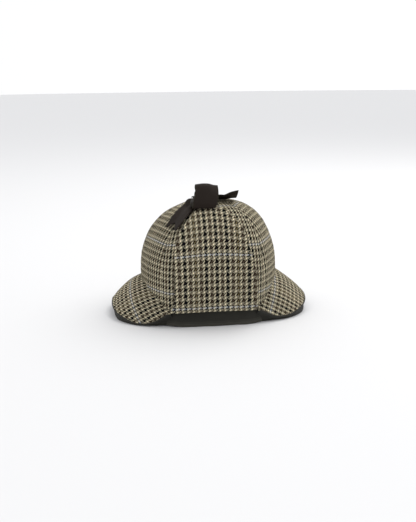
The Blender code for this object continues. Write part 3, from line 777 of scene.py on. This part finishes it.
def end_lift(angle):
    """How far the dark cloth lifts off the ground where a peak ends."""
    rise = np.where(np.cos(angle) < 0, *END_LIFTS)
    return rise * np.exp(-((corner_share(angle) - END_LIFT_MIDDLE) / END_LIFT_SPREAD) ** 2)


def band_wall(angle, height, spread, off=0.0):
    """The outside of the lining band, which flares towards the ground between the peaks."""
    ring, _ = crown_level(angle, run_at(angle, height))
    wall = ring_point(angle, ring, height)
    flare = np.maximum(1 - height / (FOLD_HEIGHT + SIDE_RISE), 0) ** BAND_FLARE_POWER * spread
    shift = (BAND_FLARE + waver(wall, "band")) * flare - (TWEED + 2 * GAP + SEAM_DENT) + off
    return wall + wall_out(angle) * shift[..., None]


def peak_face(peak, off, v):
    """A peak's outside: off is the angle from its middle, and v goes from the seam to the outer edge."""
    side = peak["side"]
    off, v = np.broadcast_arrays(np.asarray(off, float), np.asarray(v, float))
    share = corner_share(off)
    angle = off if side > 0 else np.pi - off
    seam = ring_point(angle, np.ones_like(off), seam_height(angle)) - wall_out(angle) * PEAK_TUCK
    power = PEAK_PLAN_POWER
    half_width = PEAK_CORNER[1] / (1 - (PEAK_CORNER[0] / PEAK_REACH) ** power) ** (1 / power)
    corner = math.atan2(PEAK_CORNER[1] / half_width, PEAK_CORNER[0] / PEAK_REACH)
    c, s = np.cos(corner * share), np.sin(corner * share)
    reach = (c ** power + s ** power) ** (-1 / power)
    edge = points(
        side * PEAK_REACH * reach * c,
        np.copysign(half_width * reach * s, off),
        curve(PEAK_EDGE_SHARE, PEAK_EDGE_HEIGHT[side], share),
    )
    bend = seam + (edge - seam) * np.array((peak["bend_out"], peak["bend_out"], peak["bend_down"]))
    w = v[..., None]
    return seam * (1 - w) ** 2 + bend * 2 * w * (1 - w) + edge * w ** 2


def peak_out(peak, off, v):
    return normal_of(lambda a, b: peak_face(peak, a, b), off, v) * -peak["side"]


def peak_cut(peak):
    """Lays a peak out flat along its middle row, and gives the flat place of any point on it."""
    offs = np.linspace(-math.radians(CORNER), math.radians(CORNER), 401)
    shares = np.linspace(0, 1, 21)
    middle, halfway, step = len(offs) // 2, len(shares) // 2, 1e-3
    row = peak_face(peak, offs, 0.5)
    out = peak_out(peak, offs, np.full_like(offs, 0.5))
    steps = length(np.diff(row, axis=0))
    along = running_sum(steps)
    tangent = unit(np.gradient(row, along, axis=0))
    inside = np.cross(out, tangent)
    bend = (np.gradient(tangent, along, axis=0) * inside).sum(axis=-1)
    heading = running_sum((bend[1:] + bend[:-1]) / 2 * steps)
    heading -= heading[middle]
    flat_x = running_sum(np.cos((heading[1:] + heading[:-1]) / 2) * steps)
    flat_y = running_sum(np.sin((heading[1:] + heading[:-1]) / 2) * steps)
    flat_x, flat_y = flat_x - flat_x[middle], flat_y - flat_y[middle]
    outward = unit(peak_face(peak, offs, 0.5 + step) - peak_face(peak, offs, 0.5 - step))
    slant = np.arctan2((outward * inside).sum(axis=-1), (outward * tangent).sum(axis=-1))
    lines = peak_face(peak, *np.meshgrid(offs, shares))
    run = np.vstack((np.zeros(len(offs)), np.cumsum(length(np.diff(lines, axis=0)), axis=0)))
    run -= run[halfway]

    def cut(off, v):
        a = np.interp(off, offs, np.arange(len(offs)))
        b = np.interp(v, shares, np.arange(len(shares)))
        a0, b0 = np.floor(a).astype(int), np.floor(b).astype(int)
        a1, b1 = np.minimum(a0 + 1, len(offs) - 1), np.minimum(b0 + 1, len(shares) - 1)
        fa, fb = a - a0, b - b0
        away = (
            run[b0, a0] * (1 - fa) * (1 - fb) + run[b0, a1] * fa * (1 - fb)
            + run[b1, a0] * (1 - fa) * fb + run[b1, a1] * fa * fb
        )
        turn = np.interp(off, offs, heading + slant)
        p = np.interp(off, offs, flat_x) + away * np.cos(turn)
        q = np.interp(off, offs, flat_y) + away * np.sin(turn)
        return p, q

    return cut


def peak_uv(name, peak):
    """The peak's cut turned to its grain, with across to the right seen from outside and up to the crown."""
    lay = peak_cut(peak)
    turn, shift_across, shift_up = PEAK_GRAIN[name]
    c, s = math.cos(math.radians(turn)), math.sin(math.radians(turn))
    _, ends = lay(np.array((0.0, 0.0)), np.array((0.0, 1.0)))
    scale = math.copysign(PEAK_EASE, ends[0] - ends[1])

    def cut(u, v):
        p, q = (place * scale for place in lay(across_peak(u), v))
        return p * c - q * s + shift_across, p * s + q * c + shift_up

    return cut


def across_peak(u):
    return (2 * u - 1) * math.radians(CORNER)


def make_peak(name, peak, tweed):
    def face(u, v):
        off = across_peak(u)
        base = peak_face(peak, off, v)
        rise = waver(base, "peak") * ease(0.0, 0.3, v) * (1 - 0.5 * ease(0.7, 1.0, v))
        return base + peak_out(peak, off, v) * rise[..., None]

    piece = shell(
        f"{name}_tweed", face, even(PEAK_SPAN), even(PEAK_DEPTH), PEAK_CLOTH, peak_uv(name, peak),
        (tweed,), turn=-peak["side"], radius=PEAK_ROUNDING,
        through=lambda v, out: np.where((v == 0)[..., None], upright(out), out),
    )
    return clothe(piece, "tweed", name)


def make_facing(name, peak, lining):
    """Dark cloth under a peak. Its last rows drop to the ground, and at its ends they pass into the band."""
    rows = FACING_ROWS + FACING_DROP_ROWS
    under_share = FACING_ROWS / rows

    def face(u, v):
        off = across_peak(u)
        share = corner_share(off)
        on_peak = np.minimum(v / under_share, 1.0)
        out = peak_out(peak, off, on_peak)
        lift = np.clip(1 - on_peak * 6, 0, 1)[..., None]
        through = out * (1 - lift) + upright(out) * lift
        under = peak_face(peak, off, on_peak) - through * (PEAK_CLOTH + GAP)
        angle = off if peak["side"] > 0 else np.pi - off
        inward = ease(0.72, 1.0, share)
        low = np.maximum(under[..., 2] - FACING_SHOWS, 0.0) * (1 - ease(0.0, FACING_LANDS, share))
        low = low + end_lift(angle)
        down = np.clip((v - under_share) / (1 - under_share), 0, 1)
        height = under[..., 2] * (1 - down) + low * down
        wall = band_wall(angle, height, 1.0, FACING_TUCK * (1 - 2 * ease(0.84, 0.97, share)))
        across = (1 - (1 - down) ** (1 + 3 * inward)) * inward
        place = under + (wall - under) * across[..., None]
        place[..., 2] = height
        return place

    def through(v, out):
        v = v[..., None]
        return np.where(v == 0, upright(out), np.where(v == 1, level(out), out))

    piece = shell(
        f"{name}_facing_cloth", face, even(PEAK_SPAN), np.linspace(0, 1, rows + 1), FACING_CLOTH,
        peak_uv(name, peak), (lining,), turn=-peak["side"], through=through, radius=FACING_ROUNDING,
    )
    return clothe(piece, "dark_lining", f"{name}_facing")


def make_binding(name, peak, lining):
    """Narrow dark binding folded over the peak's outer edge."""
    step = 1e-3

    def face(u, v):
        off = across_peak(v)
        edge = peak_face(peak, off, np.ones_like(off))
        out = peak_out(peak, off, np.ones_like(off))
        along = unit(peak_face(peak, off + step, 1.0) - peak_face(peak, off - step, 1.0))
        aside = np.cross(along, out)
        aside = aside * np.sign((aside * (edge - peak_face(peak, off, 0.9))).sum(axis=-1))[..., None]
        end = np.minimum(ease(0.0, 0.012, v), ease(1.0, 0.988, v)) * 0.9 + 0.1
        phi = 2 * np.pi * u
        centre = edge - out * PEAK_CLOTH * 0.5 - aside * BINDING_SET_IN
        deep, high = (BINDING_DEEP * end)[..., None], (BINDING_HIGH * end)[..., None]
        return centre + aside * deep * np.cos(phi)[..., None] + out * high * np.sin(phi)[..., None]

    piece = bar(
        f"{name}_binding", face, BINDING_SIDES, even(BINDING_LENGTH, 0.0015),
        lambda u, v: (u * BINDING_GIRTH, v * BINDING_LENGTH), lining,
    )
    return clothe(piece, "dark_lining")


# ---- Pieces: band and flaps

def make_band(band_cloth):
    def face(u, v):
        angle = 2 * np.pi * u
        share = corner_share(angle)
        low = BAND_END_HEIGHT * (1 - ease(0.55, 0.85, share)) + end_lift(angle)
        high = seam_height(angle) + BAND_INSIDE
        return band_wall(angle, low + (high - low) * v, ease(0.84, 0.93, share))

    piece = shell(
        "band", face, even(BAND_GIRTH, 0.0022), even(BAND_DEPTH, 0.0015), BAND_CLOTH,
        lambda u, v: (u * BAND_GIRTH, v * BAND_DEPTH), (band_cloth,), closed=True,
        through=lambda v, out: level(out), radius=BAND_ROUNDING,
    )
    return clothe(piece, "dark_lining", "lining_band")


def flap_place(side, x, run):
    """The angle of the crown's point at a run on one side, straight across from an x."""
    ring, _ = crown_level(np.full(np.shape(run), side * math.pi / 2), run)
    off = (x - CROWN_LEAN * (1 - ring)) / (CROWN_HALF_LENGTH * ring)
    along = np.minimum(np.abs(off), 0.98)
    low, high = np.zeros(np.shape(along)), np.ones(np.shape(along))
    for _ in range(32):
        depth = (low + high) / 2
        inside = plan_gauge(along, depth, ring) < 1
        low, high = np.where(inside, depth, low), np.where(inside, high, depth)
    return np.arctan2(side * depth, np.copysign(along, off))


def flap_run(share):
    low = -(SPRING - FOLD_HEIGHT) * (1 - share / FLAP_WALL_SHARE)
    high = (share - FLAP_WALL_SHARE) / (1 - FLAP_WALL_SHARE) * FLAP_TOP
    return np.where(share < FLAP_WALL_SHARE, low, high)


def make_flap(name, side, tweed):
    def place(u, v):
        front, rear = curve(FLAP_SHARE, FLAP_FRONT, v), curve(FLAP_SHARE, FLAP_REAR, v)
        run = flap_run(v)
        return flap_place(side, front + (rear - front) * u, run), run

    def face(u, v):
        angle, run = place(u, v)
        off = FLAP_CLEAR + FLAP_CLOTH + FLAP_STAND_OFF * (2 * u - 1) ** 2 * (1 - v ** 2)
        base = crown_smooth(angle, run)
        soft = waver(base, "flap") * ease(0.0, 0.15, v) + dome_waver(base) * 0.5
        return base + crown_normal(angle, run) * (off + soft)[..., None]

    def cut(u, v):
        across, up = dome_cut(lambda run: flap_place(side, 0.0, run), *place(u, v))
        return across + FLAP_PHASE[0], up + FLAP_PHASE[1]

    piece = shell(
        f"flap_{name}", face, even(FLAP_WIDTH, FLAP_GRID), even(FLAP_LENGTH, FLAP_GRID), FLAP_CLOTH, cut,
        (tweed,), turn=-side,
    )
    return clothe(piece, "tweed", f"ear_flap_{name}")


# ---- Pieces: the ribbon and its bow

def ribbon_run(name, node, face, run, step_across, step_along, turn, ribbon):
    """A length of ribbon: face(u, v) goes across it with u and along it with v."""
    piece = shell(
        name, face, even(RIBBON_WIDTH, step_across), even(run, step_along), RIBBON_CLOTH,
        lambda u, v: ((u - 0.5) * RIBBON_WIDTH, v * run), (ribbon,), turn=turn,
    )
    return clothe(piece, "grosgrain", node)


def top_height(x, y):
    """The crown's height over a place near its top."""
    ring = np.full(np.shape(x), 0.2)
    for _ in range(12):
        along = (x - CROWN_LEAN * (1 - ring)) / CROWN_HALF_LENGTH
        ring = np.minimum(plan_gauge(along, y / CROWN_HALF_WIDTH, ring), 1.0)
    power = dome_power(np.arctan2(y / CROWN_HALF_WIDTH, along))
    return SPRING + (CROWN_TOP - SPRING) * (1 - ring ** power) ** (1 / power)


def make_strap(name, side, ribbon):
    node = f"ribbon_strap_{name}"
    start, end = STRAP_START * side, KNOT_CENTRE[1] + side * KNOT_HALF[1] + side * GAP
    run = abs(end - start)

    def face(u, v):
        y = start + (end - start) * v
        x = STRAP_X + (u - 0.5) * RIBBON_WIDTH * (1 - STRAP_NARROWS * v)
        cover = (FLAP_CLOTH + FLAP_CLEAR) * 1.3 * ease(*STRAP_CLIMB, np.abs(y))
        fold = STRAP_FOLD * np.sin(u * 4 * np.pi) ** 2 * v
        return points(x, y, top_height(x, y) + GAP * 2 + RIBBON_CLOTH + cover + fold)

    piece = ribbon_run(f"strap_{name}", node, face, run, 0.0012, 0.0010, -side, ribbon)
    return piece


def make_loop(side, rows, turn, ribbon):
    near = side == "near"
    run = row_length(rows, (0, 1))
    loop_x, end_pinch = (NEAR_LOOP_X, NEAR_LOOP_PINCH) if near else (FAR_LOOP_X, FAR_LOOP_PINCH)

    def face(u, v):
        pinch = 1 - end_pinch * (1 - ease(0.0, 0.22, v)) - TOP_PINCH * ease(0.80, 1.0, v)
        y, z = path(rows, 0, v), path(rows, 1, v)
        pleat = LOOP_PLEAT * np.cos(u * 4 * np.pi) * (ease(0.25, 0.0, v) + ease(0.80, 1.0, v))
        x = loop_x + LOOP_LEAN * (z - LOOP_MIDDLE) + (u - 0.5) * RIBBON_WIDTH * pinch
        if near:
            # The run under the loop lies askew. The front bulges to the right at half its height, is a
            # little narrower above, and its top edge arches and falls to the right.
            x = x - 0.0032 * ease(0.30, 0.20, v) * (1 - 0.6 * u)
            x = x + 0.0018 * ease(0.5, 1.0, u) * np.sin(np.pi * np.clip((z - 0.163) / 0.031, 0, 1))
            x = x + 0.0014 * ease(0.6, 0.0, u) * ease(0.172, 0.180, z)
            y = y + 0.0010 * (2 * u - 1) ** 2 * ease(0.25, 0.4, v) * ease(0.85, 0.6, v)
            top = ease(0.180, 0.192, z)
            z = z + (0.0012 * np.sin(np.pi * np.clip(u / 0.8, 0, 1)) - 0.0020 * ease(0.55, 1.0, u)) * top
        return points(x, y, z + pleat)

    piece = ribbon_run(f"loop_{side}", f"bow_loop_{side}", face, run, 0.0010, 0.0010, turn, ribbon)
    return piece


def make_tail(name, rows, notch, ribbon):
    """A free end of the ribbon. Where it is held narrow, its right side is folded under along its length."""
    run = row_length(rows, (0, 1, 2))

    def middle(share):
        return np.stack([path(rows, c, share) for c in range(3)], axis=-1)

    def face(u, v):
        visible = np.maximum(path(rows, 3, v), TAIL_LEAST)
        off = (1 - u) * np.minimum(RIBBON_WIDTH, visible * TAIL_SPARE)
        edge = notch * np.maximum(1 - np.abs(2 * off / visible - 1), 0)
        share = v * (1 - edge / run * ease(0.5, 1.0, v))
        low, high = np.maximum(share - 1e-3, 0), np.minimum(share + 1e-3, 1)
        forward = unit(middle(high) - middle(low))
        flat_side = level(np.stack((forward[..., 1], -forward[..., 0], 0 * forward[..., 0]), axis=-1))
        flat_up = np.cross(flat_side, forward)
        tilt = np.radians(path(rows, 4, share))[..., None]
        sideways = flat_side * np.cos(tilt) + flat_up * np.sin(tilt)
        up = flat_up * np.cos(tilt) - flat_side * np.sin(tilt)
        past = np.clip((off - visible) / TAIL_FOLD, 0, np.pi)
        under = np.maximum(off - visible - np.pi * TAIL_FOLD, 0)
        across = visible / 2 - np.minimum(off, visible) - TAIL_FOLD * np.sin(past) + under
        drop = TAIL_FOLD * (1 - np.cos(past))
        inside = np.clip(off / visible, 0, 1)
        pleat = TAIL_PLEAT * np.sin(inside * 3.2 * np.pi + 0.6) * (1 - 0.75 * ease(0.1, 0.8, v))
        curl = TAIL_CURL * (2 * inside - 1) ** 2 * ease(0.4, 1.0, v)
        return middle(share) + sideways * across[..., None] + up * (pleat + curl - drop)[..., None]

    piece = ribbon_run(f"tail_{name}", f"bow_tail_{name}", face, run, 0.0006, 0.0008, 1, ribbon)
    return piece


def make_knot(ribbon):
    """The knot: ribbon wrapped round the gathered middle, its pleats running over the top."""

    def face(u, v):
        phi, side = 2 * np.pi * u, 2 * v - 1
        end = np.sqrt(np.maximum(1 - np.abs(side) ** 3.2, 0.0))
        fold = 1 + 0.055 * np.cos(side * 9.0 + 0.8 * np.sin(phi + 0.5)) * end
        c, s = np.cos(phi), np.sin(phi)
        square = (np.abs(c) ** KNOT_SQUARENESS + np.abs(s) ** KNOT_SQUARENESS) ** (-1 / KNOT_SQUARENESS)
        grip = (0.30 + 0.70 * end) * fold * 0.97
        return points(
            KNOT_CENTRE[0] + KNOT_HALF[0] * square * c * grip,
            KNOT_CENTRE[1] + KNOT_HALF[1] * side,
            KNOT_CENTRE[2] + KNOT_HALF[2] * square * s * grip,
        )

    piece = bar(
        "knot", face, KNOT_SIDES, np.linspace(0, 1, KNOT_ROWS + 1),
        lambda u, v: ((v - 0.5) * 0.030, u * 0.060), ribbon,
    )
    return clothe(piece, "grosgrain", "bow_knot")


# ---- The studio's pieces

def make_camera():
    azimuth, elevation, roll = np.radians((CAMERA_AZIMUTH, CAMERA_ELEVATION, CAMERA_ROLL))
    flat = math.cos(elevation)
    back = Vector((math.sin(azimuth) * flat, -math.cos(azimuth) * flat, math.sin(elevation)))
    right = Vector((math.cos(azimuth), math.sin(azimuth), 0.0))
    up = back.cross(right)
    right, up = (
        right * math.cos(roll) - up * math.sin(roll),
        right * math.sin(roll) + up * math.cos(roll),
    )
    data = bpy.data.cameras.new("camera")
    data.lens, data.sensor_width, data.sensor_fit = LENS, SENSOR, "AUTO"
    camera = add_object("camera", data)
    turned = Matrix((right, up, back)).transposed().to_4x4()
    camera.matrix_world = Matrix.Translation(Vector(CAMERA_TARGET) + back * CAMERA_DISTANCE) @ turned
    bpy.context.scene.camera = camera


def make_floor():
    turns = [2 * math.pi * k / FLOOR_SIDES for k in range(FLOOR_SIDES)]
    verts = [(0, 0, 0)] + [(FLOOR_RADIUS * math.cos(a), FLOOR_RADIUS * math.sin(a), 0) for a in turns]
    mesh = bpy.data.meshes.new("floor")
    mesh.from_pydata(verts, [], [(0, 1 + k, 1 + (k + 1) % FLOOR_SIDES) for k in range(FLOOR_SIDES)])
    floor = add_object("floor", mesh)
    paint = Cloth("pale_floor", roughness=0.9, specular=0.1)
    feed(paint.tree, paint.shader, {"Base Color": FLOOR_COLOUR})
    mesh.materials.append(paint.material)


def make_key():
    """A large soft lamp above the hat's back right."""
    data = bpy.data.lights.new("key", "AREA")
    data.shape, data.size, data.energy, data.color = "DISK", KEY_SIZE, KEY_POWER, KEY_COLOUR
    lamp = add_object("key", data)
    lamp.location = KEY_PLACE
    lamp.rotation_euler = (Vector(KEY_TARGET) - Vector(KEY_PLACE)).to_track_quat("-Z", "Y").to_euler()


def make_sky():
    """A white tent, dimmer in front of the hat and brighter above it."""
    world = bpy.data.worlds.new("studio")
    world.use_nodes = True
    tree = world.node_tree
    place = make_node(tree, "TexCoord", {})
    split = make_node(tree, "SeparateXYZ", {0: place.outputs["Generated"]})
    factors = []
    for axis, (start, end, low, high) in SKY_CHANGES.items():
        inputs = {"From Min": start, "From Max": end, "To Min": low, "To Max": high}
        inputs["Value"] = split.outputs[axis]
        change = make_node(tree, "MapRange", inputs, interpolation_type="SMOOTHSTEP")
        factors.append(Wire(tree, change.outputs["Result"]))
    strength = factors[0] * factors[1] * factors[2]
    feed(tree, tree.nodes["Background"], {"Strength": strength, "Color": SKY_COLOUR})
    bpy.context.scene.world = world


# ---- Putting it together

def main():
    tweed, lining, ribbon = tweed_material(), lining_material(), ribbon_material()
    # The band's own copy of the lining, with painted light along its lower edge.
    band_cloth = lining_material("dark_olive_band", BAND_PAINTED_LIGHT_HEIGHT)
    for index in range(len(SEAMS) - 1):
        make_gore(index, tweed, lining)
    for name, peak in PEAKS.items():
        make_peak(name, peak, tweed)
        make_facing(name, peak, lining)
        make_binding(name, peak, lining)
    make_band(band_cloth)
    for name, side in SIDES.items():
        make_flap(name, side, tweed)
    for name, side in SIDES.items():
        make_strap(name, side, ribbon)
    make_knot(ribbon)
    make_loop("near", NEAR_LOOP, 1, ribbon)
    make_loop("far", FAR_LOOP, -1, ribbon)
    make_tail("left", LEFT_TAIL, TAIL_NOTCH, ribbon)
    make_tail("right", RIGHT_TAIL, 0.0, ribbon)
    make_sky()
    make_key()
    bpy.context.scene.view_settings.view_transform = "Standard"
    make_floor()
    make_camera()


main()
